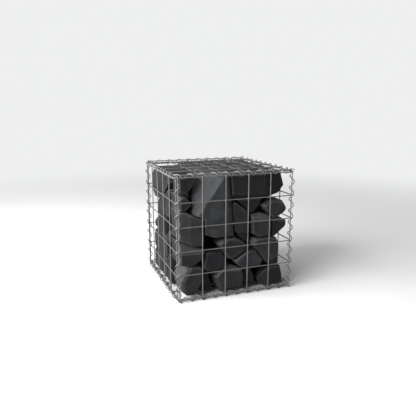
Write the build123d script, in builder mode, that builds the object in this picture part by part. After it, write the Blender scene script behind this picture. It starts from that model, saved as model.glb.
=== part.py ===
"""A gabion: a cube of welded wire mesh, laced with spirals and packed with stones.

Millimetres, +Z up. The origin is under the middle of the basket, on the
surface that it stands on. The front faces -Y.
"""

from math import cos, hypot, radians, sin
import os

from build123d import *

os.makedirs("parts", exist_ok=True)

# Welded mesh
mesh_pitch = 100
cells = 5
wire_d = 4.5
wire_sides = 8
weld_bite = 0.8
panel_gap = 0.65

# Spirals that lace the edges
spiral_wire_d = 4
turns_per_cell = 2
spiral_play = 0.3
spiral_lead = 5
spiral_overrun = 8
spiral_end_gap = 3

# Stones: all but the joint between them is in mesh cells, also their outlines
# and depths further down, which are as they are seen through the mesh
joint = 0.3
shoulder = 0.14
crown_size = 0.86
back_size = 0.8
left_reach = 1.4
fill_height = 5.04

# Places that follow from the sizes above
side = cells * mesh_pitch
half = side / 2
wire_r = wire_d / 2
layer = (wire_d - weld_bite) / 2
inner_face = half + wire_r + panel_gap
panel_plane = inner_face + wire_r + layer

# A spiral runs about the middle of the two edge wires that it laces, one in
# the inner layer of its panel and one in the outer layer of the next
spiral_near = half + (panel_plane - layer - half) / 2
spiral_far = half + (panel_plane + layer - half) / 2
edge_wires_r = hypot(panel_plane - layer - half, panel_plane + layer - half) / 2 + wire_r
spiral_r = edge_wires_r + spiral_play + spiral_wire_d / 2
spiral_reach = spiral_r + spiral_wire_d / 2
spiral_pitch = mesh_pitch / turns_per_cell
spiral_stop = spiral_reach - (spiral_near - half) + spiral_end_gap

# Heights above the ground
middle_z = spiral_far + spiral_reach
stone_floor_z = middle_z - inner_face + joint


def export(name, shape):
    """Write one piece under its own name."""
    shape.label = name
    export_step(shape, f"parts/{name}.step")


def panel(name, outer_plane, inner_plane):
    """A welded panel: two layers of straight wires that bite into each other.

    Each plane is square to its wires, with its origin at the panel's middle.
    """
    with BuildPart() as mesh:
        for plane in (outer_plane, inner_plane):
            with BuildSketch(plane.offset(-half - wire_r)):
                with GridLocations(mesh_pitch, mesh_pitch, cells + 1, 1):
                    RegularPolygon(wire_r, wire_sides, major_radius=False, rotation=180 / wire_sides)
            extrude(amount=side + wire_d)
    export(name, mesh.part)


def layer_plane(outward, along, distance):
    """The plane that one layer's wires are drawn on."""
    return Plane(
        origin=Vector(0, 0, middle_z) + outward * distance,
        x_dir=along.cross(outward),
        z_dir=along,
    )


x_axis = Vector(1, 0, 0)
y_axis = Vector(0, 1, 0)
z_axis = Vector(0, 0, 1)

# Panels: the way each one faces, and the ways its outer and inner wires run
panels = {
    "front_panel": (-y_axis, z_axis, x_axis),
    "back_panel": (y_axis, z_axis, x_axis),
    "left_panel": (-x_axis, y_axis, z_axis),
    "right_panel": (x_axis, y_axis, z_axis),
    "base_panel": (-z_axis, x_axis, y_axis),
    "lid_panel": (z_axis, x_axis, y_axis),
}
for name, (outward, outer_way, inner_way) in panels.items():
    panel(
        name,
        layer_plane(outward, outer_way, panel_plane + layer),
        layer_plane(outward, inner_way, panel_plane - layer),
    )


def coil(length):
    """A right-handed spiral about the z axis, which starts on the x axis."""
    with BuildPart() as wire:
        with BuildLine() as path:
            Helix(spiral_pitch, length, spiral_r)
        with BuildSketch(Plane(origin=path.line @ 0, z_dir=path.line % 0)):
            Circle(spiral_wire_d / 2)
        sweep(is_frenet=True)
    return wire.part


def spiral(name, wire, axis_plane, start, out_at):
    """Lace an edge along the plane's z axis, from start past its mesh corner.

    The spiral stands out along the plane's x axis at out_at and then each turn.
    """
    turned = 360 * (start - out_at) / spiral_pitch
    with BuildPart() as laced:
        with Locations(axis_plane.offset(start) * Rot(0, 0, turned)):
            add(wire)
    export(name, laced.part)


# The spirals along X run past the corners, and the others stop short of them
long_coil = coil(side + 2 * spiral_overrun)
short_coil = coil(side - 2 * spiral_stop)

ways = [x_axis, y_axis, z_axis]
side_words = [("left", "right"), ("front", "back"), ("bottom", "top")]
for number, along in enumerate(ways):
    second, third = (number + 1) % 3, (number + 2) % 3
    wire, start = (long_coil, -spiral_overrun) if number == 0 else (short_coil, spiral_stop)
    for second_sign in (-1, 1):
        for third_sign in (-1, 1):
            # It goes in through one panel midway between two cross wires and
            # out through the next, and leads where that one's wires are outer
            inward, across = ways[second] * -second_sign, ways[third] * -third_sign
            leads = along.cross(inward) == across
            centre = Vector(0, 0, middle_z) - inward * spiral_near - across * spiral_far
            signs = {second: second_sign, third: third_sign}
            words = [side_words[axis][signs[axis] > 0] for axis in (2, 1, 0) if axis in signs]
            spiral(
                "_".join(words) + "_spiral",
                wire,
                Plane(origin=centre - along * half, x_dir=inward if leads else across, z_dir=along),
                start,
                spiral_pitch / 2 - (spiral_lead if leads else 0),
            )


def face_plane(outward, across):
    """A side of the basket seen from outside, from its lower left mesh corner."""
    corner = outward * half - across * half + z_axis * stone_floor_z
    return Plane(origin=corner, x_dir=across, z_dir=outward)


front_face = face_plane(-y_axis, x_axis)
left_face = face_plane(-x_axis, -y_axis)
right_face = face_plane(x_axis, y_axis)
top_face = Plane(origin=(-half, -half, stone_floor_z + fill_height * mesh_pitch), x_dir=x_axis)


def stone(face, outline, front, back, crown=crown_size, lean=(0, 0), slopes=()):
    """One block of stone, in mesh cells from the corner of the face.

    It has its full outline between two shoulders. In front of them it narrows
    to the crown, which leans to one side, and behind them to a smaller back.
    Each slope is a line on the crown, past whose left side the stone falls
    away at an angle.
    """
    sections = [
        (front, crown, lean),
        (front + shoulder, 1, (0, 0)),
        (back - shoulder, 1, (0, 0)),
        (back, back_size, (0, 0)),
    ]
    middle = sum((Vector(*point) for point in outline), Vector()) * (1 / len(outline))
    with BuildPart() as block:
        for depth, size, (shift_x, shift_y) in sections:
            with BuildSketch(face.offset(-depth * mesh_pitch)):
                with BuildLine():
                    corners = [
                        (middle + (Vector(*point) - middle) * size + Vector(shift_x, shift_y))
                        * mesh_pitch
                        for point in outline
                    ]
                    Polyline(*corners, close=True)
                make_face()
                offset(amount=-joint / 2, kind=Kind.INTERSECTION)
        loft(ruled=True)
        for start, end, angle in slopes:
            begin = face.from_local_coords(Vector(*start, -front) * mesh_pitch)
            finish = face.from_local_coords(Vector(*end, -front) * mesh_pitch)
            away = face.z_dir.cross((finish - begin).normalized())
            tilt = radians(angle)
            split(
                bisect_by=Plane(origin=begin, z_dir=face.z_dir * cos(tilt) + away * sin(tilt)),
                keep=Keep.BOTTOM,
            )
    return block.part


# Stones of the front, from the left column to the right one
front_stones = {
    "top_left_stone": dict(
        outline=[(0.10, 4.36), (0.10, 5.04), (0.88, 5.04), (0.80, 4.70), (0.42, 4.25), (0.28, 4.25)],
        front=0.16,
        back=1.10,
        lean=(0, 0.04),
    ),
    "small_left_stone": dict(
        outline=[(0.11, 3.60), (0.11, 4.25), (0.38, 4.25), (0.51, 4.10), (0.67, 3.88), (0.40, 3.61)],
        front=0.10,
        back=1.46,
        crown=0.80,
    ),
    "tall_pale_stone": dict(
        outline=[
            (1.15, 2.58), (1.15, 3.24), (0.64, 3.48), (0.77, 4.49), (0.92, 5.04), (2.24, 5.04),
            (2.32, 4.10), (2.38, 3.50), (2.49, 2.42), (1.60, 2.42),
        ],
        front=0.03,
        back=1.38,
        crown=0.95,
        lean=(0, -0.02),
        slopes=[
            ((0.86, 3.38), (1.97, 4.90), 33),
            ((2.10, 4.86), (2.29, 2.62), 24),
        ],
    ),
    "left_block_stone": dict(
        outline=[
            (0.10, 2.42), (0.10, 3.60), (0.40, 3.60), (0.64, 3.48), (1.15, 3.24),
            (1.15, 2.10), (0.67, 2.15), (0.28, 2.33),
        ],
        front=0.04,
        back=1.46,
        crown=0.94,
        slopes=[((0.55, 2.32), (0.57, 3.49), 22)],
    ),
    "left_wedge_stone": dict(
        outline=[
            (0.11, 1.38), (0.11, 2.31), (1.16, 2.00), (1.20, 1.89), (1.11, 1.62),
            (0.69, 1.33), (0.45, 1.31),
        ],
        front=0.05,
        back=1.46,
        crown=0.92,
        slopes=[((0.13, 1.86), (1.12, 1.83), 38)],
    ),
    "bottom_left_stone": dict(
        outline=[
            (0.21, 0.20), (0.15, 0.69), (0.45, 1.31), (0.69, 1.33), (0.99, 1.28),
            (1.13, 1.12), (1.16, 0.75), (0.95, 0.31), (0.73, 0.00), (0.41, 0.00),
        ],
        front=0.08,
        back=1.44,
        crown=0.84,
        lean=(0.02, 0.03),
        slopes=[((0.32, 0.65), (0.63, 1.28), 32)],
    ),
    "left_packing_stone": dict(
        outline=[(1.04, 0.00), (1.20, 0.89), (1.32, 0.95), (1.42, 0.83), (1.55, 0.46), (1.64, 0.00)],
        front=0.44,
        back=1.25,
    ),
    "dark_block_stone": dict(
        outline=[
            (1.13, 1.12), (1.13, 1.34), (1.18, 1.62), (1.24, 1.85), (1.94, 1.81),
            (2.05, 1.64), (2.17, 1.37), (2.16, 1.16), (1.86, 0.95), (1.32, 0.95),
        ],
        front=0.12,
        back=1.35,
        crown=0.90,
    ),
    "centre_stone": dict(
        outline=[
            (1.72, 2.13), (1.86, 2.29), (2.17, 2.39), (2.55, 2.39), (2.92, 2.15),
            (3.13, 1.96), (3.09, 1.73), (2.74, 1.52), (2.41, 1.36), (2.19, 1.45), (1.94, 1.81),
        ],
        front=0.06,
        back=1.32,
        crown=0.82,
    ),
    "narrow_stone": dict(
        outline=[
            (2.50, 2.60), (2.38, 3.50), (2.37, 3.84), (2.52, 3.90), (3.07, 3.48),
            (3.16, 3.16), (3.17, 2.43), (2.72, 2.46),
        ],
        front=0.12,
        back=1.20,
        crown=0.92,
    ),
    "centre_packing_stone": dict(
        outline=[(2.67, 2.36), (2.68, 2.46), (3.16, 2.43), (3.24, 2.07), (3.14, 1.98)],
        front=0.34,
        back=1.15,
    ),
    "long_top_stone": dict(
        outline=[
            (2.36, 3.96), (2.32, 4.10), (2.24, 5.04), (4.72, 5.04),
            (5.00, 4.36), (4.70, 4.08), (3.85, 3.94),
        ],
        front=0.06,
        back=1.45,
        crown=0.96,
        lean=(-0.01, -0.05),
        slopes=[
            ((3.87, 5.02), (3.85, 3.85), 24),
            ((4.03, 4.15), (2.35, 4.20), 48),
        ],
    ),
    "pointed_stone": dict(
        outline=[(2.59, 3.94), (3.85, 3.94), (3.75, 3.68), (3.51, 3.41), (3.33, 3.26)],
        front=0.30,
        back=1.30,
        crown=0.94,
    ),
    "right_ridge_stone": dict(
        outline=[
            (3.91, 3.40), (3.77, 3.64), (4.14, 3.80), (4.72, 3.81), (4.85, 3.61),
            (4.97, 3.40), (4.91, 3.23), (4.30, 2.98),
        ],
        front=0.08,
        back=1.15,
        slopes=[((4.76, 3.47), (4.29, 3.06), 36)],
    ),
    "rounded_block_stone": dict(
        outline=[
            (3.31, 2.42), (3.26, 2.79), (3.29, 3.25), (3.75, 3.31), (4.08, 3.20),
            (4.22, 3.03), (4.22, 2.47), (4.10, 2.26), (3.67, 2.23),
        ],
        front=0.06,
        back=1.30,
        crown=0.88,
        slopes=[((3.20, 3.04), (4.32, 3.06), 40)],
    ),
    "right_slab_stone": dict(
        outline=[(4.25, 2.33), (4.25, 2.98), (4.97, 2.92), (4.97, 2.64), (4.38, 2.19)],
        front=0.16,
        back=1.10,
        crown=0.92,
    ),
    "right_block_stone": dict(
        outline=[
            (3.46, 1.72), (3.31, 1.96), (3.46, 2.21), (4.11, 2.26), (4.51, 2.15),
            (4.65, 1.88), (4.65, 1.34), (4.36, 1.09), (4.07, 1.00), (3.85, 1.20),
        ],
        front=0.10,
        back=1.30,
        crown=0.88,
    ),
    "six_sided_stone": dict(
        outline=[
            (2.46, 1.34), (3.09, 1.73), (3.46, 1.72), (3.85, 1.20), (3.64, 0.94),
            (2.91, 0.91), (2.58, 1.16),
        ],
        front=0.04,
        back=1.20,
        crown=0.92,
    ),
    "bottom_centre_stone": dict(
        outline=[
            (1.72, 0.31), (1.61, 0.69), (1.86, 0.95), (2.16, 1.16), (2.37, 1.16),
            (2.72, 1.02), (2.91, 0.91), (3.00, 0.44), (2.90, 0.00), (1.88, 0.00),
        ],
        front=0.08,
        back=1.36,
        lean=(0, 0.03),
        slopes=[((1.78, 0.91), (2.98, 0.83), 36)],
    ),
    "bottom_right_stone": dict(
        outline=[
            (3.83, 0.00), (3.69, 0.27), (3.93, 0.65), (4.18, 0.88), (4.72, 0.88),
            (4.83, 0.43), (4.86, 0.00),
        ],
        front=0.08,
        back=1.30,
        crown=0.88,
        lean=(0, 0.02),
        slopes=[((4.09, 0.10), (4.17, 0.86), 34)],
    ),
    "bottom_packing_stone": dict(
        outline=[
            (3.05, 0.00), (3.02, 0.51), (3.10, 0.92), (3.30, 0.92), (3.47, 0.69),
            (3.61, 0.33), (3.61, 0.00),
        ],
        front=0.38,
        back=1.25,
    ),
    "right_packing_stone": dict(
        outline=[(4.23, 0.88), (4.36, 1.07), (4.64, 1.32), (4.73, 1.20), (4.70, 0.88)],
        front=0.30,
        back=1.20,
    ),
}


def turned(block):
    """The same block half a turn about the basket's middle."""
    with BuildPart() as copy:
        with Locations(Rot(0, 0, 180)):
            add(block)
    return copy.part


def turned_and_cut(block):
    """The same, without what would reach into the left side's stones."""
    cut_plane = Plane(origin=(left_reach * mesh_pitch - half, 0, 0), z_dir=x_axis)
    with BuildPart() as rest:
        add(turned(block))
        split(bisect_by=cut_plane, keep=Keep.TOP)
    return rest.part


front_blocks = {name: stone(front_face, **shape) for name, shape in front_stones.items()}
for name, block in front_blocks.items():
    export(name, block)

# The back repeats the front, as far as the left side's stones
left_out = ("right_ridge_stone", "right_slab_stone", "right_packing_stone", "bottom_right_stone")
back_blocks = [turned_and_cut(block) for name, block in front_blocks.items() if name not in left_out]
export("back_stones", Compound(children=back_blocks))

# Stones of the left side up to the front ones, from the top row down and from
# the back corner forwards
left_stones = [
    dict(
        outline=[
            (0.43, 3.95), (0.43, 4.42), (0.80, 4.90), (1.20, 5.03), (1.73, 5.04),
            (1.75, 3.62), (1.05, 3.58),
        ],
        front=0.03,
        back=1.36,
        crown=0.93,
        lean=(0, -0.04),
    ),
    dict(
        outline=[(1.77, 3.98), (1.77, 5.04), (3.50, 5.04), (3.50, 4.60), (2.72, 4.02)],
        front=0.03,
        back=1.36,
        crown=0.93,
        lean=(0, -0.05),
    ),
    dict(
        outline=[(0.10, 2.90), (0.10, 3.52), (1.05, 3.58), (1.58, 3.61), (1.58, 2.90)],
        front=0.62,
        back=1.36,
    ),
    dict(
        outline=[(1.62, 2.82), (1.62, 3.48), (2.10, 3.99), (2.70, 4.015), (2.73, 2.988)],
        front=0.04,
        back=1.32,
        crown=0.94,
    ),
    dict(
        outline=[(2.78, 2.99), (2.75, 3.93), (3.20, 4.28), (3.50, 4.30), (3.52, 3.40), (3.35, 3.02)],
        front=0.06,
        back=1.30,
        crown=0.93,
    ),
    dict(
        outline=[(0.10, 2.00), (0.10, 2.90), (0.86, 2.90), (0.86, 2.00)],
        front=0.42,
        back=1.34,
    ),
    dict(
        outline=[(0.90, 2.11), (0.88, 2.40), (1.62, 2.82), (2.68, 2.98), (2.68, 2.11)],
        front=0.04,
        back=1.35,
        crown=0.95,
    ),
    dict(
        outline=[(2.74, 2.27), (2.74, 2.988), (3.51, 3.028), (3.52, 2.60)],
        front=0.50,
        back=1.30,
    ),
    dict(
        outline=[(2.84, 1.96), (2.82, 2.14), (3.10, 2.42), (3.46, 2.54), (3.52, 2.40), (3.50, 1.96)],
        front=0.08,
        back=1.32,
    ),
    dict(
        outline=[(0.10, 1.02), (0.10, 2.00), (0.62, 2.00), (0.62, 1.02)],
        front=0.44,
        back=1.34,
    ),
    dict(
        outline=[(0.70, 1.03), (0.68, 1.70), (0.88, 2.00), (1.40, 2.11), (1.54, 1.80), (1.52, 1.03)],
        front=0.05,
        back=1.34,
        crown=0.92,
    ),
    dict(
        outline=[
            (1.58, 1.03), (1.58, 1.80), (1.72, 2.11), (2.64, 2.11), (2.90, 1.90),
            (2.88, 1.20), (2.70, 1.03),
        ],
        front=0.07,
        back=1.34,
        crown=0.92,
    ),
    dict(
        outline=[(2.94, 1.14), (2.94, 1.96), (3.52, 1.96), (3.52, 1.47), (3.22, 1.40)],
        front=0.60,
        back=1.34,
    ),
    dict(
        outline=[(0.10, 0.00), (0.10, 1.02), (0.50, 1.02), (0.50, 0.00)],
        front=0.30,
        back=1.34,
    ),
    dict(
        outline=[(0.58, 0.00), (0.56, 0.62), (0.70, 1.03), (1.80, 1.03), (1.88, 0.80), (1.86, 0.00)],
        front=0.06,
        back=1.34,
        crown=0.90,
        lean=(0, 0.05),
    ),
    dict(
        outline=[(1.92, 0.00), (1.92, 0.85), (2.05, 1.03), (2.64, 1.03), (2.76, 0.80), (2.72, 0.00)],
        front=0.08,
        back=1.34,
        crown=0.90,
        lean=(0, 0.05),
    ),
    dict(
        outline=[
            (2.90, 0.00), (2.82, 0.45), (2.92, 1.12), (3.22, 1.40), (3.50, 1.46),
            (3.52, 0.40), (3.40, 0.00),
        ],
        front=0.08,
        back=1.32,
        crown=0.90,
        lean=(0, 0.04),
    ),
]
left_blocks = [stone(left_face, **shape) for shape in left_stones]
export("left_stones", Compound(children=left_blocks))

# Stones of the right side between the front and back ones, from the top row down
right_stones = [
    dict(
        outline=[(1.50, 3.90), (1.50, 5.00), (2.50, 5.04), (3.48, 5.04), (3.50, 4.50), (2.45, 3.90)],
        front=0.09,
        back=1.36,
        crown=0.92,
    ),
    dict(
        outline=[(2.84, 3.90), (3.00, 4.21), (3.51, 4.50), (3.51, 3.90)],
        front=0.30,
        back=1.20,
    ),
    dict(
        outline=[
            (1.50, 2.98), (1.45, 3.70), (1.70, 3.90), (3.50, 3.90), (3.52, 3.30),
            (3.35, 3.05), (2.30, 2.96),
        ],
        front=0.12,
        back=1.32,
        crown=0.92,
    ),
    dict(
        outline=[
            (1.50, 2.14), (1.47, 2.62), (1.65, 2.90), (2.36, 2.962), (2.62, 2.85),
            (2.58, 2.16), (2.40, 2.06), (1.65, 2.04),
        ],
        front=0.16,
        back=1.30,
    ),
    dict(
        outline=[
            (2.65, 2.18), (2.66, 2.84), (2.90, 3.008), (3.34, 3.046), (3.50, 2.90),
            (3.51, 2.40), (3.38, 2.14), (3.00, 2.06),
        ],
        front=0.22,
        back=1.28,
    ),
    dict(
        outline=[(2.62, 1.78), (2.56, 1.95), (3.00, 2.06), (3.50, 2.04), (3.52, 1.86), (3.40, 1.76)],
        front=0.20,
        back=1.30,
    ),
    dict(
        outline=[
            (1.52, 1.04), (1.47, 1.65), (1.65, 2.04), (2.40, 2.06), (2.50, 1.90),
            (2.46, 1.10), (2.25, 0.92), (1.70, 0.90),
        ],
        front=0.14,
        back=1.34,
    ),
    dict(
        outline=[(2.72, 0.85), (2.66, 1.50), (2.80, 1.772), (3.40, 1.76), (3.48, 1.40), (3.44, 0.85)],
        front=0.30,
        back=1.36,
    ),
    dict(
        outline=[(1.50, 0.00), (1.46, 0.55), (1.70, 0.90), (2.25, 0.92), (2.46, 0.60), (2.44, 0.00)],
        front=0.16,
        back=1.30,
    ),
    dict(
        outline=[
            (2.52, 0.00), (2.50, 0.50), (2.62, 0.83), (3.45, 0.85), (3.51, 0.50), (3.50, 0.00),
        ],
        front=0.14,
        back=1.32,
    ),
]
export("right_stones", Compound(children=[stone(right_face, **shape) for shape in right_stones]))

# Stones of the middle, as seen from above, from the top ones down
middle_stones = [
    dict(
        outline=[(1.50, 1.45), (1.50, 2.90), (2.30, 3.00), (2.62, 2.30), (2.42, 1.45)],
        front=0.00,
        back=1.70,
        crown=0.95,
    ),
    dict(
        outline=[(2.46, 1.45), (2.66, 2.28), (3.52, 2.50), (3.52, 1.45)],
        front=0.05,
        back=1.70,
        crown=0.95,
    ),
    dict(
        outline=[(1.50, 2.94), (1.50, 3.55), (3.48, 3.55), (3.52, 2.56), (2.68, 2.35), (2.36, 3.04)],
        front=0.02,
        back=1.70,
        crown=0.95,
    ),
    dict(
        outline=[(1.48, 1.50), (1.52, 2.46), (3.46, 2.40), (3.50, 1.50)],
        front=1.70,
        back=3.36,
    ),
    dict(
        outline=[(1.52, 2.50), (1.52, 3.50), (3.50, 3.50), (3.46, 2.44)],
        front=1.70,
        back=3.36,
    ),
    dict(
        outline=[(1.50, 1.50), (1.52, 3.50), (2.46, 3.50), (2.54, 1.50)],
        front=3.36,
        back=5.04,
    ),
    dict(
        outline=[(2.58, 1.50), (2.50, 3.50), (3.50, 3.50), (3.50, 1.50)],
        front=3.36,
        back=5.04,
    ),
]
export("middle_stones", Compound(children=[stone(top_face, **shape) for shape in middle_stones]))
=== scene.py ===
"""A gabion: welded wire panels, laced with spirals round a fill of split basalt.

Metres, +Z up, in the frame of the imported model. The front faces -Y.
"""

import math
import random

import bmesh
import bpy
import numpy as np
from mathutils import Matrix, Vector


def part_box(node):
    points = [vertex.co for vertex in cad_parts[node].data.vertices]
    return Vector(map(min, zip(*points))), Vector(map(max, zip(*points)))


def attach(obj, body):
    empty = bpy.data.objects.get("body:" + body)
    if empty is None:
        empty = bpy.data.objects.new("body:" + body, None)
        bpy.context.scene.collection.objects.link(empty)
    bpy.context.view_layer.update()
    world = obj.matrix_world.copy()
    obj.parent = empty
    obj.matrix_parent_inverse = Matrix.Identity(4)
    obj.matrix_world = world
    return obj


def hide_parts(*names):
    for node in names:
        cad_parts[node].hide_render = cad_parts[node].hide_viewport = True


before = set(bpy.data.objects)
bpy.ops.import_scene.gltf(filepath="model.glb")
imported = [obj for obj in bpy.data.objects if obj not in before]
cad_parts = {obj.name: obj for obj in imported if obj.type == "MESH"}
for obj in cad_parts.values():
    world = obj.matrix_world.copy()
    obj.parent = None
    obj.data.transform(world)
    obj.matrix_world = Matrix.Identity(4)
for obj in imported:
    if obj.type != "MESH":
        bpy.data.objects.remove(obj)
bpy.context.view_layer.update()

# Mesh panels
MESH_PITCH = 0.100
CELLS = 5
WIRE_D = 0.0045
WIRE_FACETS = 14
WIRE_STEPS_PER_CELL = 4
WELD_WIDTH = 0.0074
WELD_FLATNESS = 0.72
WELD_SUBDIVISIONS = 3
WIRE_BOW = 0.0007
BOW_SCALE = 5.0

# Spirals
SPIRAL_WIRE_D = 0.004
SPIRAL_PITCH = 0.050
SPIRAL_STEPS_PER_TURN = 30
SPIRAL_UNEVEN = 0.0003
UNEVEN_SCALE = 24.0

# Stones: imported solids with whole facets, then an even mesh with soft edges
SAME_POINT = 2e-6
SAME_FACET = math.radians(1.5)
STONE_VOXEL = 0.0034
COARSER_VOXELS = {
    "left_stones": 0.0039,
    "right_stones": 0.0052,
    "back_stones": 0.0060,
    "middle_stones": 0.0075,
}
SOFTENING_ROUNDS = 2
SOFTENING_FACTOR = 0.5

# Chips along the edges and at the corners of the stones, with mean and greatest widths. A
# chip's direction is shared between the two facets, and twists along the edge.
CHIP_SHORTEST_EDGE = 0.015
CHIP_WIDTH = 0.0028
CHIP_WIDEST = 0.009
CHIP_SHARE = (0.4, 0.6)
CHIP_TWIST = 0.04
CORNER_WIDTH = 0.005
CORNER_WIDEST = 0.016
CORNER_SHARPEST = math.radians(75)
CORNER_WIDTH_TO_DEPTH = 3.5
CHIP_DEEPEST = 0.009
CHIP_SHALLOWEST = 0.0002

# Split surface of the stones: the scale of each pattern, and its share in the depth. Where
# they add up to SPLIT_MIDDLE, the surface stays in place.
SPLIT_DEPTH = 0.0035
SPLIT_MIDDLE = 0.42
HOLLOW_SCALE, HOLLOW_SHARE = 10.0, 0.45
FLAKE_SCALE, FLAKE_SHARE = 26.0, 0.22
RIPPLE_SCALE, RIPPLE_SHARE = 70.0, 0.50

# Wear where the surface stands this part of a voxel proud of its blurred self
WEAR_BLUR = 6
WEAR_PROUD = 0.35

# A paler tone on surfaces that face upwards, partly dust and partly painted light from above, by
# how far upwards the surface faces, and the share of it taken off again on the level tops
DUST_AND_PAINTED_LIGHT_TONE = 0.30
DUST_AND_PAINTED_LIGHT_RISE = (0.05, 0.32)
LEVEL_TOP_RISE = (0.60, 0.95)
LEVEL_TOP_SHARE = 0.6

# How much paler or darker than the common basalt a node's stones are, or one of its stones: partly
# their own tone and partly painted shading, darker on stones that lie in shade and paler on stones
# that catch the light; and the span of tones for the others
STONE_TONES_AND_PAINTED_SHADING = {
    "bottom_right_stone": -0.26,
    "dark_block_stone": -0.20,
    "left_block_stone": 0.0,
    "left_stones": -0.16,
    "left_stones_0": 0.02,
    "left_stones_6": -0.26,
    "left_wedge_stone": -0.04,
    "long_top_stone": -0.24,
    "narrow_stone": -0.08,
    "pointed_stone": -0.20,
    "right_block_stone": 0.06,
    "right_slab_stone": -0.14,
    "six_sided_stone": 0.05,
    "tall_pale_stone": 0.12,
    "top_left_stone": -0.10,
}
OTHER_TONES = (-0.07, 0.05)

# Basalt: the scale of each pattern, and its share in the shade and in the relief
CLOUD_SCALE, CLOUD_SHADE, CLOUD_RELIEF = 22.0, 0.55, 0.60
LINE_SCALE, LINE_SHADE, LINE_RELIEF = 210.0, 0.25, 0.45
GRAIN_SCALE, GRAIN_SHADE, GRAIN_RELIEF = 520.0, 0.20, 0.35
LINE_STRETCH = (1.0, 1.0, 0.06)
BASALT_COLOURS = (
    (0.30, (0.016, 0.0165, 0.018)),
    (0.55, (0.031, 0.032, 0.034)),
    (0.95, (0.080, 0.082, 0.086)),
)
WORN_CLOUDS = 0.5
WORN_SPAN = (0.55, 1.25)
WORN_SHARE = 0.12
WORN_TONE, WORN_WARMTH = 0.17, -0.01
CRYSTAL_SCALE = 700.0
CRYSTAL_SPAN = (0.16, 0.05)
CRYSTAL_SHARE = 0.35
CRYSTAL_TONE, CRYSTAL_WARMTH = 0.12, 0.01
BASALT_BUMP = {"Strength": 0.55, "Distance": 0.0016}
BASALT_ROUGHNESS = (0.70, 0.88)
BASALT_SPECULAR = 0.15

# Zinc: a ramp from dark to pale, as (position, part of the tone)
MESH_ZINC_TONE = 0.15
SPIRAL_ZINC_TONE = 0.17
ZINC_TONE_PARTS = ((0.25, 0.62), (0.60, 1.0), (0.90, 1.25))
BLOTCH_SCALE, BLOTCH_SHADE = 60.0, 0.7
FROST_SCALE, FROST_SHADE = 380.0, 0.5
ZINC_METALLIC = 0.65
ZINC_BUMP = {"Strength": 0.25, "Distance": 0.0003}
ZINC_ROUGHNESS = (0.38, 0.58)

# The span that soft noise mostly keeps to
NOISE_SPAN = (0.3, 0.7)

# The sockets of a Mix node for colours, whose names other sockets share
MIX_FACTOR, MIX_FIRST, MIX_SECOND, MIX_RESULT = 0, 6, 7, 2

# Camera
CAMERA_PLACE = Vector((-0.7167, -1.8684, 0.7779))
CAMERA_HEADING = math.radians(20.12)
CAMERA_DIP = math.radians(12.73)
CAMERA_ROLL = math.radians(0.01)
LENS_MM = 38.29
SENSOR_MM = 36.0

# Floor, background and lamps
FLOOR_RADIUS = 60.0
FLOOR_SIDES = 96
FLOOR_TONE_SEEN = 0.88
FLOOR_TONE_UNSEEN = 0.40
FLOOR_ROUGHNESS = 0.9
FLOOR_FADE = (0.8, 4.0)
BACKDROP_COLOUR = (0.86, 0.865, 0.87, 1.0)
BACKDROP_STRENGTH = 1.0
SKY_COLOUR = (0.96, 0.98, 1.0, 1.0)
SKY_STRENGTH = 0.20
LAMPS = {
    "window": {"place": (-3.0, -0.75, 1.7), "aim": (0.0, 0.0, 0.25), "width": 3.0, "power": 310.0},
    "overhead": {"place": (-0.6, 0.4, 3.0), "aim": (0.0, 0.0, 0.3), "width": 2.6, "power": 35.0},
}


class Value:
    """A node's output that takes part in arithmetic, one Math node each time."""

    def __init__(self, graph, socket):
        self.graph = graph
        self.socket = socket

    def __add__(self, other):
        return self.graph.math("ADD", self, other)

    def __sub__(self, other):
        return self.graph.math("SUBTRACT", self, other)

    def __rsub__(self, other):
        return self.graph.math("SUBTRACT", other, self)

    def __mul__(self, other):
        return self.graph.math("MULTIPLY", self, other)

    def __truediv__(self, other):
        return self.graph.math("DIVIDE", self, other)

    def __rtruediv__(self, other):
        return self.graph.math("DIVIDE", other, self)

    __radd__ = __add__
    __rmul__ = __mul__


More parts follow.
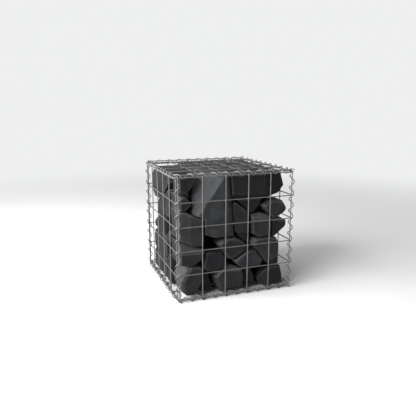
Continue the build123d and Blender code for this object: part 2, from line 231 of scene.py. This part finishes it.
class Graph:
    """A node tree with one way to add a node, and short names for the common ones."""

    def __init__(self, tree):
        self.tree = tree

    def feed(self, socket, value):
        """Link a Value to a socket, or each of a tuple of them, or set a plain value."""
        several = isinstance(value, tuple) and isinstance(value[0], Value)
        for term in value if several else (value,):
            if isinstance(term, Value):
                self.tree.links.new(term.socket, socket)
            else:
                socket.default_value = term

    def node(self, kind, settings=None, inputs=None, output=0):
        """Add a node: its settings first, then values or links for its sockets."""
        node = self.tree.nodes.new(kind)
        for name, value in (settings or {}).items():
            if name == "stops":
                self.set_stops(node.color_ramp, value)
            else:
                setattr(node, name, value)
        for name, value in (inputs or {}).items():
            self.feed(node.inputs[name], value)
        return Value(self, node.outputs[output]) if node.outputs else None

    @staticmethod
    def set_stops(ramp, stops):
        """Give a ramp its (position, colour) stops."""
        while len(ramp.elements) < len(stops):
            ramp.elements.new(0.5)
        for element, (position, colour) in zip(ramp.elements, stops):
            element.position = position
            element.color = (*colour, 1.0)

    def output_of(self, value, name):
        """Another output of the node that a value comes from."""
        return Value(self, value.socket.node.outputs[name])

    def math(self, operation, *terms):
        """Arithmetic on values and plain numbers."""
        return self.node("ShaderNodeMath", {"operation": operation}, dict(enumerate(terms)))

    def noise(self, where, scale, detail, roughness=0.5, seed=None):
        """Soft noise, around 0.5. A seed makes it four-dimensional."""
        sockets = {"Vector": where, "Scale": scale, "Detail": detail, "Roughness": roughness}
        if seed is None:
            return self.node("ShaderNodeTexNoise", {}, sockets)
        return self.node("ShaderNodeTexNoise", {"noise_dimensions": "4D"}, {**sockets, "W": seed})

    def cells(self, where, scale, output):
        """Irregular cells: the distance from each one's middle, or a colour for each."""
        return self.node(
            "ShaderNodeTexVoronoi", {"feature": "F1"}, {"Vector": where, "Scale": scale}, output
        )

    def spread(self, value, low, high, to_low=0.0, to_high=1.0):
        """Ease a value from one span to another, held at the ends."""
        return self.node(
            "ShaderNodeMapRange",
            {"interpolation_type": "SMOOTHSTEP"},
            {
                "Value": value,
                "From Min": low,
                "From Max": high,
                "To Min": to_low,
                "To Max": to_high,
            },
        )

    def ramp(self, factor, stops):
        """A colour that follows a factor from stop to stop."""
        return self.node("ShaderNodeValToRGB", {"stops": stops}, {"Fac": factor})

    def mix(self, factor, first, second):
        """Mix two colours."""
        sockets = {MIX_FACTOR: factor, MIX_FIRST: first, MIX_SECOND: second}
        return self.node("ShaderNodeMix", {"data_type": "RGBA"}, sockets, MIX_RESULT)


def shader_graph(name):
    """A new material, and the graph of its nodes, with none in it yet."""
    material = bpy.data.materials.new(name)
    material.use_nodes = True
    graph = Graph(material.node_tree)
    graph.tree.nodes.clear()
    return material, graph


def finish_shader(graph, shader):
    graph.node("ShaderNodeOutputMaterial", {}, {"Surface": shader})


def grey(tone, warmth=0.0):
    """A colour of one grey tone, warmer above nought and cooler below it."""
    return (tone * (1 + warmth), tone, tone * (1 - warmth), 1.0)


def basalt():
    """Split basalt: charcoal, with mineral grain, faint upright lines and paler worn edges."""
    material, graph = shader_graph("split basalt")
    where = graph.node("ShaderNodeTexCoord", output="Object")
    tone = graph.node("ShaderNodeAttribute", {"attribute_name": "tone"}, output="Fac")
    wear = graph.node("ShaderNodeAttribute", {"attribute_name": "wear"}, output="Fac")

    lines_where = graph.node("ShaderNodeMapping", {}, {"Vector": where, "Scale": LINE_STRETCH})
    lines = graph.noise(lines_where, LINE_SCALE, detail=3.0, roughness=0.6)
    clouds = graph.noise(where, CLOUD_SCALE, detail=4.0, roughness=0.6)
    grain = graph.noise(where, GRAIN_SCALE, detail=2.0, roughness=0.7)
    crystals = graph.cells(where, CRYSTAL_SCALE, "Distance")

    # The tone attribute carries each stone's tone with its painted shade and light, and the paler
    # upward slopes of dust and painted light
    shade = CLOUD_SHADE * clouds + LINE_SHADE * lines + GRAIN_SHADE * grain + tone
    fresh = graph.ramp(shade, BASALT_COLOURS)
    edges = graph.spread(wear + WORN_CLOUDS * clouds, *WORN_SPAN) * WORN_SHARE
    worn = graph.mix(edges, fresh, grey(WORN_TONE, WORN_WARMTH))
    specks = graph.spread(crystals, *CRYSTAL_SPAN) * CRYSTAL_SHARE
    speckled = graph.mix(specks, worn, grey(CRYSTAL_TONE, CRYSTAL_WARMTH))

    relief = LINE_RELIEF * lines + GRAIN_RELIEF * grain + CLOUD_RELIEF * clouds
    bump = graph.node("ShaderNodeBump", {}, {**BASALT_BUMP, "Height": relief}, output="Normal")
    surface = graph.node(
        "ShaderNodeBsdfPrincipled",
        {},
        {
            "Base Color": speckled,
            "Roughness": graph.spread(grain, *NOISE_SPAN, *BASALT_ROUGHNESS),
            "Specular IOR Level": BASALT_SPECULAR,
            "Normal": bump,
        },
    )
    finish_shader(graph, surface)
    return material


def zinc(name, tone):
    """Dull hot-dipped zinc: grey metal with soft blotches and a fine frost."""
    material, graph = shader_graph(name)
    where = graph.node("ShaderNodeTexCoord", output="Object")
    blotches = graph.noise(where, BLOTCH_SCALE, detail=3.0, roughness=0.6)
    frost = graph.cells(where, FROST_SCALE, "Distance")
    shade = BLOTCH_SHADE * blotches + FROST_SHADE * frost
    stops = [(position, (tone * part,) * 3) for position, part in ZINC_TONE_PARTS]
    base = graph.ramp(shade, stops)
    bump = graph.node("ShaderNodeBump", {}, {**ZINC_BUMP, "Height": shade}, output="Normal")
    surface = graph.node(
        "ShaderNodeBsdfPrincipled",
        {},
        {
            "Base Color": base,
            "Metallic": ZINC_METALLIC,
            "Roughness": graph.spread(blotches, *NOISE_SPAN, *ZINC_ROUGHNESS),
            "Normal": bump,
        },
    )
    finish_shader(graph, surface)
    return material


def geometry_graph(name, inputs):
    """A new geometry tree with named inputs, and the values of those inputs."""
    tree = bpy.data.node_groups.new(name, "GeometryNodeTree")
    tree.is_modifier = True
    for label, kind in inputs.items():
        tree.interface.new_socket(label, in_out="INPUT", socket_type=f"NodeSocket{kind}")
    tree.interface.new_socket("Geometry", in_out="OUTPUT", socket_type="NodeSocketGeometry")
    graph = Graph(tree)
    given = graph.node("NodeGroupInput")
    return graph, {label: graph.output_of(given, label) for label in inputs}


def finish_geometry(graph, shape, material):
    """End a tree with its shape as plain mesh, smooth shaded, in a material."""
    smooth = graph.node("GeometryNodeSetShadeSmooth", {}, {"Geometry": shape})
    real = graph.node("GeometryNodeRealizeInstances", {}, {"Geometry": smooth})
    coated = graph.node("GeometryNodeSetMaterial", {}, {"Geometry": real, "Material": material})
    graph.node("NodeGroupOutput", {}, {"Geometry": coated})
    return graph.tree


def vector(graph, x=0.0, y=0.0, z=0.0):
    return graph.node("ShaderNodeCombineXYZ", {}, {"X": x, "Y": y, "Z": z})


def wire_along(graph, curve, diameter, facets):
    """Round wire along a curve, closed at both ends."""
    section = graph.node(
        "GeometryNodeCurvePrimitiveCircle", {}, {"Resolution": facets, "Radius": diameter * 0.5}
    )
    return graph.node(
        "GeometryNodeCurveToMesh", {}, {"Curve": curve, "Profile Curve": section, "Fill Caps": True}
    )


def panel_tree(material):
    """A welded panel about its own middle: outer wires along X, inner ones along Y."""
    graph, size = geometry_graph(
        "welded panel",
        {
            "Cells": "Int",
            "Pitch": "Float",
            "Wire diameter": "Float",
            "Layer gap": "Float",
            "Weld width": "Float",
            "Bow": "Float",
            "Seed": "Float",
        },
    )
    side = size["Cells"] * size["Pitch"]
    half_length = 0.5 * side + 0.5 * size["Wire diameter"]
    line = graph.node(
        "GeometryNodeCurvePrimitiveLine",
        {},
        {"Start": vector(graph, x=0.0 - half_length), "End": vector(graph, x=half_length)},
    )
    steps = graph.node(
        "GeometryNodeResampleCurve",
        {},
        {"Curve": line, "Count": size["Cells"] * WIRE_STEPS_PER_CELL + 1},
    )
    wire = wire_along(graph, steps, size["Wire diameter"], WIRE_FACETS)
    rows = graph.node(
        "GeometryNodeMeshLine",
        {},
        {
            "Count": size["Cells"] + 1,
            "Start Location": vector(graph, y=side * -0.5, z=0.5 * size["Layer gap"]),
            "Offset": vector(graph, y=size["Pitch"]),
        },
    )
    outer = graph.node("GeometryNodeInstanceOnPoints", {}, {"Points": rows, "Instance": wire})
    inner = graph.node(
        "GeometryNodeTransform",
        {},
        {
            "Geometry": outer,
            "Rotation": (0.0, 0.0, math.radians(90)),
            "Translation": vector(graph, z=0.0 - size["Layer gap"]),
        },
    )
    crossings = graph.node(
        "GeometryNodeMeshGrid",
        {},
        {
            "Size X": side,
            "Size Y": side,
            "Vertices X": size["Cells"] + 1,
            "Vertices Y": size["Cells"] + 1,
        },
    )
    nugget = graph.node(
        "GeometryNodeMeshIcoSphere",
        {},
        {"Radius": 0.5 * size["Weld width"], "Subdivisions": WELD_SUBDIVISIONS},
    )
    welds = graph.node(
        "GeometryNodeInstanceOnPoints",
        {},
        {"Points": crossings, "Instance": nugget, "Scale": (1.0, 1.0, WELD_FLATNESS)},
    )
    joined = graph.node("GeometryNodeJoinGeometry", {}, {"Geometry": (outer, inner, welds)})
    real = graph.node("GeometryNodeRealizeInstances", {}, {"Geometry": joined})
    place = graph.node("GeometryNodeInputPosition")
    wander = graph.noise(place, BOW_SCALE, detail=1.0, seed=size["Seed"])
    shift = graph.node(
        "ShaderNodeVectorMath",
        {"operation": "SUBTRACT"},
        {0: graph.output_of(wander, "Color"), 1: (0.5, 0.5, 0.5)},
    )
    bow = graph.node(
        "ShaderNodeVectorMath", {"operation": "SCALE"}, {0: shift, "Scale": 2.0 * size["Bow"]}
    )
    bent = graph.node("GeometryNodeSetPosition", {}, {"Geometry": real, "Offset": bow})
    return finish_geometry(graph, bent, material)


def spiral_tree(material):
    """A right-handed spiral of round wire, from the origin up the Z axis."""
    graph, size = geometry_graph(
        "edge spiral",
        {
            "Length": "Float",
            "Pitch": "Float",
            "Radius": "Float",
            "Wire diameter": "Float",
            "Phase": "Float",
            "Uneven": "Float",
            "Steps": "Int",
        },
    )
    top = vector(graph, z=size["Length"])
    line = graph.node("GeometryNodeCurvePrimitiveLine", {}, {"End": top})
    steps = graph.node("GeometryNodeResampleCurve", {}, {"Curve": line, "Count": size["Steps"]})
    place = graph.node("GeometryNodeInputPosition")
    height = graph.node("ShaderNodeSeparateXYZ", {}, {"Vector": place}, output="Z")
    angle = height / size["Pitch"] * math.tau + size["Phase"]
    drift = graph.noise(place, UNEVEN_SCALE, detail=1.0) - 0.5
    radius = size["Radius"] + 2.0 * size["Uneven"] * drift
    x, y = (radius * graph.math(part, angle) for part in ("COSINE", "SINE"))
    on_coil = vector(graph, x, y, height)
    coil = graph.node("GeometryNodeSetPosition", {}, {"Geometry": steps, "Position": on_coil})
    wire = wire_along(graph, coil, size["Wire diameter"], WIRE_FACETS)
    return finish_geometry(graph, wire, material)


def stone_tree(material):
    """A split surface: broad hollows, flaked steps and a fine roughness; upward slopes paler with
    dust and painted light.
    """
    graph, size = geometry_graph(
        "split stone",
        {"Geometry": "Geometry", "Depth": "Float", "Tone": "Float", "Softness": "Float"},
    )
    place = graph.node("GeometryNodeInputPosition")
    normal = graph.node("GeometryNodeInputNormal")
    blurred = graph.node(
        "GeometryNodeBlurAttribute",
        {"data_type": "FLOAT_VECTOR"},
        {"Value": place, "Iterations": WEAR_BLUR},
    )
    proud = graph.node("ShaderNodeVectorMath", {"operation": "SUBTRACT"}, {0: place, 1: blurred})
    edge = graph.node(
        "ShaderNodeVectorMath", {"operation": "DOT_PRODUCT"}, {0: proud, 1: normal}, output="Value"
    )
    worn = graph.spread(edge, 0.0, size["Softness"])
    with_wear = graph.node(
        "GeometryNodeStoreNamedAttribute",
        {"data_type": "FLOAT", "domain": "POINT"},
        {"Geometry": size["Geometry"], "Name": "wear", "Value": worn},
    )
    rise = graph.node("ShaderNodeSeparateXYZ", {}, {"Vector": normal}, output="Z")
    # Paler on the slopes that face up, partly dust and partly painted light from above, and less so
    # on the level tops
    dust_and_painted_light = graph.spread(rise, *DUST_AND_PAINTED_LIGHT_RISE) - LEVEL_TOP_SHARE * graph.spread(rise, *LEVEL_TOP_RISE)
    tone = size["Tone"] + DUST_AND_PAINTED_LIGHT_TONE * dust_and_painted_light
    with_tone = graph.node(
        "GeometryNodeStoreNamedAttribute",
        {"data_type": "FLOAT", "domain": "POINT"},
        {"Geometry": with_wear, "Name": "tone", "Value": tone},
    )
    hollows = graph.noise(place, HOLLOW_SCALE, detail=2.0)
    flakes = graph.cells(place, FLAKE_SCALE, "Color")
    step = graph.node("ShaderNodeSeparateXYZ", {}, {"Vector": flakes})
    ripple = graph.noise(place, RIPPLE_SCALE, detail=3.0, roughness=0.6)
    cut = HOLLOW_SHARE * hollows + FLAKE_SHARE * step + RIPPLE_SHARE * ripple - SPLIT_MIDDLE
    inward = graph.node(
        "ShaderNodeVectorMath",
        {"operation": "SCALE"},
        {0: normal, "Scale": cut * size["Depth"] * -1.0},
    )
    split = graph.node("GeometryNodeSetPosition", {}, {"Geometry": with_tone, "Offset": inward})
    return finish_geometry(graph, split, material)


def show(name, mesh):
    """A piece at the origin with this mesh."""
    piece = bpy.data.objects.new(name, mesh)
    bpy.context.scene.collection.objects.link(piece)
    return piece


def baked(name, source):
    """The plain mesh of an object with all its modifiers, which then goes."""
    depsgraph = bpy.context.evaluated_depsgraph_get()
    mesh = bpy.data.meshes.new_from_object(
        source.evaluated_get(depsgraph), preserve_all_data_layers=True, depsgraph=depsgraph
    )
    mesh.name = name
    old = source.data
    bpy.data.objects.remove(source)
    bpy.data.meshes.remove(old)
    return mesh


def grow(source, tree, sizes):
    """Give an object a geometry tree, with the sizes under the tree's own names."""
    modifier = source.modifiers.new("Grow", "NODES")
    modifier.node_group = tree
    for item in tree.interface.items_tree:
        if item.in_out == "INPUT" and item.name in sizes:
            modifier[item.identifier] = sizes[item.name]


def declare(piece, slot, *nodes):
    """Tie a piece to the frame, in place of the nodes that it shows in full."""
    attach(piece, "root")
    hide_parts(*nodes)


def make_panels(material):
    """Welded panels of round wire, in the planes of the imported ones."""
    tree = panel_tree(material)
    # The side that each panel faces, and the way that its outer wires run
    faces = {
        "front_panel": ("-Y", "Z"),
        "back_panel": ("Y", "Z"),
        "left_panel": ("-X", "Y"),
        "right_panel": ("X", "Y"),
        "base_panel": ("-Z", "X"),
        "lid_panel": ("Z", "X"),
    }
    axes = {"X": Vector((1, 0, 0)), "Y": Vector((0, 1, 0)), "Z": Vector((0, 0, 1))}
    for number, (node, (outward, outer_way)) in enumerate(faces.items()):
        low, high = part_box(node)
        normal = axes[outward[-1]] * (-1 if outward.startswith("-") else 1)
        depth = abs((high - low).dot(normal))
        source = show(node, bpy.data.meshes.new(node))
        sizes = {
            "Cells": CELLS,
            "Pitch": MESH_PITCH,
            "Wire diameter": WIRE_D,
            "Layer gap": depth - WIRE_D,
            "Weld width": WELD_WIDTH,
            "Bow": WIRE_BOW,
            "Seed": float(number),
        }
        grow(source, tree, sizes)
        mesh = baked(node, source)
        along = axes[outer_way]
        turn = Matrix((along, normal.cross(along), normal)).transposed().to_4x4()
        mesh.transform(Matrix.Translation((low + high) / 2) @ turn)
        declare(show(f"round_wire_{node}", mesh), "mesh", node)


def coil_phase(node, axis, middle):
    """The angle of a packed spiral at its lower end, from the lie of all its points."""
    first, second = (axis + 1) % 3, (axis + 2) % 3
    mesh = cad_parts[node].data
    points = np.empty(len(mesh.vertices) * 3)
    mesh.vertices.foreach_get("co", points)
    points = points.reshape(-1, 3)
    start = points[:, axis].min()
    around = np.arctan2(points[:, second] - middle[second], points[:, first] - middle[first])
    climb = (points[:, axis] - start) / SPIRAL_PITCH * math.tau
    return float(np.angle(np.exp(1j * (around - climb)).mean()))


def make_spirals(material):
    """Spirals along the twelve edges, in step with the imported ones."""
    tree = spiral_tree(material)
    for node in sorted(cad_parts):
        if not node.endswith("_spiral"):
            continue
        low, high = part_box(node)
        span = high - low
        axis = max(range(3), key=lambda i: span[i])
        first = (axis + 1) % 3
        middle = (low + high) / 2
        sizes = {
            "Length": span[axis],
            "Pitch": SPIRAL_PITCH,
            "Radius": (span[first] - SPIRAL_WIRE_D) / 2,
            "Wire diameter": SPIRAL_WIRE_D,
            "Phase": coil_phase(node, axis, middle),
            "Uneven": SPIRAL_UNEVEN,
            "Steps": int(span[axis] / SPIRAL_PITCH * SPIRAL_STEPS_PER_TURN),
        }
        source = show(node, bpy.data.meshes.new(node))
        grow(source, tree, sizes)
        mesh = baked(node, source)
        start = middle.copy()
        start[axis] = low[axis]
        columns = [Vector(), Vector(), Vector()]
        for column, index in enumerate((first, (axis + 2) % 3, axis)):
            columns[column][index] = 1.0
        mesh.transform(Matrix.Translation(start) @ Matrix(columns).transposed().to_4x4())
        declare(show(f"wound_{node}", mesh), "spirals", node)


def solids_of(node):
    """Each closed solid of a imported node, as its own mesh with whole facets."""
    whole = bmesh.new()
    whole.from_mesh(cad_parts[node].data)
    bmesh.ops.remove_doubles(whole, verts=whole.verts, dist=SAME_POINT)
    whole.faces.index_update()
    seen = set()
    solids = []
    for face in whole.faces:
        if face.index in seen:
            continue
        seen.add(face.index)
        island = [face]
        solid = bmesh.new()
        copies = {}
        for part in island:
            corners = []
            for vert in part.verts:
                if vert not in copies:
                    copies[vert] = solid.verts.new(vert.co)
                corners.append(copies[vert])
            solid.faces.new(corners)
            for edge in part.edges:
                for other in edge.link_faces:
                    if other.index not in seen:
                        seen.add(other.index)
                        island.append(other)
        solid.normal_update()
        bmesh.ops.dissolve_limit(
            solid, angle_limit=SAME_FACET, verts=solid.verts[:], edges=solid.edges[:]
        )
        solids.append(solid)
    whole.free()
    return solids


def chip_edges(solid, draw):
    """Break the sharp edges and corners off a solid with small flat chips."""
    solid.normal_update()
    chips = []
    for edge in solid.edges:
        if len(edge.link_faces) != 2 or not edge.is_convex:
            continue
        if edge.calc_length() < CHIP_SHORTEST_EDGE:
            continue
        share = draw.uniform(*CHIP_SHARE)
        normal = edge.link_faces[0].normal * share + edge.link_faces[1].normal * (1 - share)
        along = (edge.verts[1].co - edge.verts[0].co).normalized()
        normal = (normal + along * draw.uniform(-CHIP_TWIST, CHIP_TWIST)).normalized()
        reach = max(vert.co.dot(normal) for vert in edge.verts)
        width = min(draw.expovariate(1 / CHIP_WIDTH), CHIP_WIDEST)
        depth = width * math.tan(edge.calc_face_angle() / 2) / 2
        chips.append((normal, reach, min(depth, CHIP_DEEPEST)))
    for vert in solid.verts:
        normal = vert.normal.copy()
        angles = [face.normal.angle(normal) for face in vert.link_faces]
        opening = min(sum(angles) / len(angles), CORNER_SHARPEST)
        width = min(draw.expovariate(1 / CORNER_WIDTH), CORNER_WIDEST)
        depth = width * math.tan(opening) / CORNER_WIDTH_TO_DEPTH
        chips.append((normal, vert.co.dot(normal), min(depth, CHIP_DEEPEST)))
    for normal, reach, depth in chips:
        support = max(vert.co.dot(normal) for vert in solid.verts)
        if support > reach + CHIP_SHALLOWEST or depth < CHIP_SHALLOWEST:
            continue
        cut = bmesh.ops.bisect_plane(
            solid,
            geom=solid.verts[:] + solid.edges[:] + solid.faces[:],
            plane_co=normal * (reach - depth),
            plane_no=normal,
            clear_outer=True,
        )
        rim = [part for part in cut["geom_cut"] if isinstance(part, bmesh.types.BMEdge)]
        if rim:
            bmesh.ops.edgenet_fill(solid, edges=rim)
    bmesh.ops.recalc_face_normals(solid, faces=solid.faces)


def split_stone(name, solid, tree, voxel, tone):
    """The mesh of one stone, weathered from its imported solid."""
    mesh = bpy.data.meshes.new(name)
    solid.to_mesh(mesh)
    source = show(name, mesh)
    remesh = source.modifiers.new("Even mesh", "REMESH")
    remesh.mode = "VOXEL"
    remesh.voxel_size = voxel
    soften = source.modifiers.new("Soft edges", "SMOOTH")
    soften.factor = SOFTENING_FACTOR
    soften.iterations = SOFTENING_ROUNDS
    grow(source, tree, {"Depth": SPLIT_DEPTH, "Tone": tone, "Softness": voxel * WEAR_PROUD})
    return baked(name, source)


def joined(name, meshes):
    """One mesh from several."""
    whole = bmesh.new()
    for mesh in meshes:
        whole.from_mesh(mesh)
    result = meshes[0].copy()
    result.name = name
    whole.to_mesh(result)
    whole.free()
    return result


def make_stones(material):
    """Every stone of the fill, chipped and split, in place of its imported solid."""
    tree = stone_tree(material)
    for node in sorted(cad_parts):
        if not node.endswith(("_stone", "_stones")):
            continue
        draw = random.Random(node)
        voxel = COARSER_VOXELS.get(node, STONE_VOXEL)
        meshes = []
        for number, solid in enumerate(solids_of(node)):
            chip_edges(solid, draw)
            name = f"{node}_{number}"
            # Each stone's tone: its own, with the painted shade and light of the table where the
            # table has one
            tone = STONE_TONES_AND_PAINTED_SHADING.get(node, draw.uniform(*OTHER_TONES))
            tone = STONE_TONES_AND_PAINTED_SHADING.get(name, tone)
            meshes.append(split_stone(name, solid, tree, voxel, tone))
            solid.free()
        declare(show(f"split_{node}", joined(node, meshes)), "basalt", node)


def make_camera():
    """The camera where the photograph was taken from."""
    ahead = Vector(
        (
            math.sin(CAMERA_HEADING) * math.cos(CAMERA_DIP),
            math.cos(CAMERA_HEADING) * math.cos(CAMERA_DIP),
            -math.sin(CAMERA_DIP),
        )
    )
    level = ahead.cross(Vector((0, 0, 1))).normalized()
    upright = level.cross(ahead)
    right = level * math.cos(CAMERA_ROLL) + upright * math.sin(CAMERA_ROLL)
    up = right.cross(ahead)
    data = bpy.data.cameras.new("view")
    data.lens = LENS_MM
    data.sensor_width = SENSOR_MM
    camera = bpy.data.objects.new("view", data)
    turn = Matrix((right, up, -ahead)).transposed().to_4x4()
    camera.matrix_world = Matrix.Translation(CAMERA_PLACE) @ turn
    bpy.context.scene.collection.objects.link(camera)
    bpy.context.scene.camera = camera


def make_lamp(name, place, aim, width, power):
    """A soft square lamp that faces a point."""
    data = bpy.data.lights.new(name, "AREA")
    data.size = width
    data.energy = power
    lamp = bpy.data.objects.new(name, data)
    lamp.location = place
    lamp.rotation_euler = (Vector(aim) - Vector(place)).to_track_quat("-Z", "Y").to_euler()
    bpy.context.scene.collection.objects.link(lamp)


def seen_ray(graph):
    """One for rays that show the background itself: camera, glossy and transmission rays."""
    camera = graph.node("ShaderNodeLightPath", output="Is Camera Ray")
    glossy = graph.output_of(camera, "Is Glossy Ray")
    through = graph.output_of(camera, "Is Transmission Ray")
    return graph.math("MAXIMUM", camera, graph.math("MAXIMUM", glossy, through))


def make_stage():
    """A pale floor that fades into the pale background, and soft light."""
    bpy.context.scene.view_settings.view_transform = "Standard"
    world = bpy.data.worlds.new("studio")
    bpy.context.scene.world = world
    world.use_nodes = True
    graph = Graph(world.node_tree)
    graph.tree.nodes.clear()
    sky = graph.node(
        "ShaderNodeBackground", {}, {"Color": SKY_COLOUR, "Strength": SKY_STRENGTH}
    )
    backdrop = graph.node(
        "ShaderNodeBackground", {}, {"Color": BACKDROP_COLOUR, "Strength": BACKDROP_STRENGTH}
    )
    mixed = graph.node("ShaderNodeMixShader", {}, {0: seen_ray(graph), 1: sky, 2: backdrop})
    graph.node("ShaderNodeOutputWorld", {}, {"Surface": mixed})

    material, graph = shader_graph("pale floor")
    where = graph.node("ShaderNodeTexCoord", output="Object")
    reach = graph.node("ShaderNodeVectorMath", {"operation": "LENGTH"}, {0: where}, output="Value")
    seen = seen_ray(graph)
    far = graph.spread(reach, *FLOOR_FADE) * seen
    tone = graph.mix(seen, grey(FLOOR_TONE_UNSEEN), grey(FLOOR_TONE_SEEN))
    paint = graph.node(
        "ShaderNodeBsdfPrincipled", {}, {"Base Color": tone, "Roughness": FLOOR_ROUGHNESS}
    )
    glow = graph.node("ShaderNodeEmission", {}, {"Color": BACKDROP_COLOUR})
    finish_shader(graph, graph.node("ShaderNodeMixShader", {}, {0: far, 1: paint, 2: glow}))
    disc = bmesh.new()
    bmesh.ops.create_circle(disc, cap_ends=True, segments=FLOOR_SIDES, radius=FLOOR_RADIUS)
    mesh = bpy.data.meshes.new("floor")
    disc.to_mesh(mesh)
    disc.free()
    mesh.materials.append(material)
    show("floor", mesh)

    for name, lamp in LAMPS.items():
        make_lamp(name, **lamp)


make_camera()
make_stage()
make_panels(zinc("galvanised mesh", MESH_ZINC_TONE))
make_spirals(zinc("galvanised spirals", SPIRAL_ZINC_TONE))
make_stones(basalt())
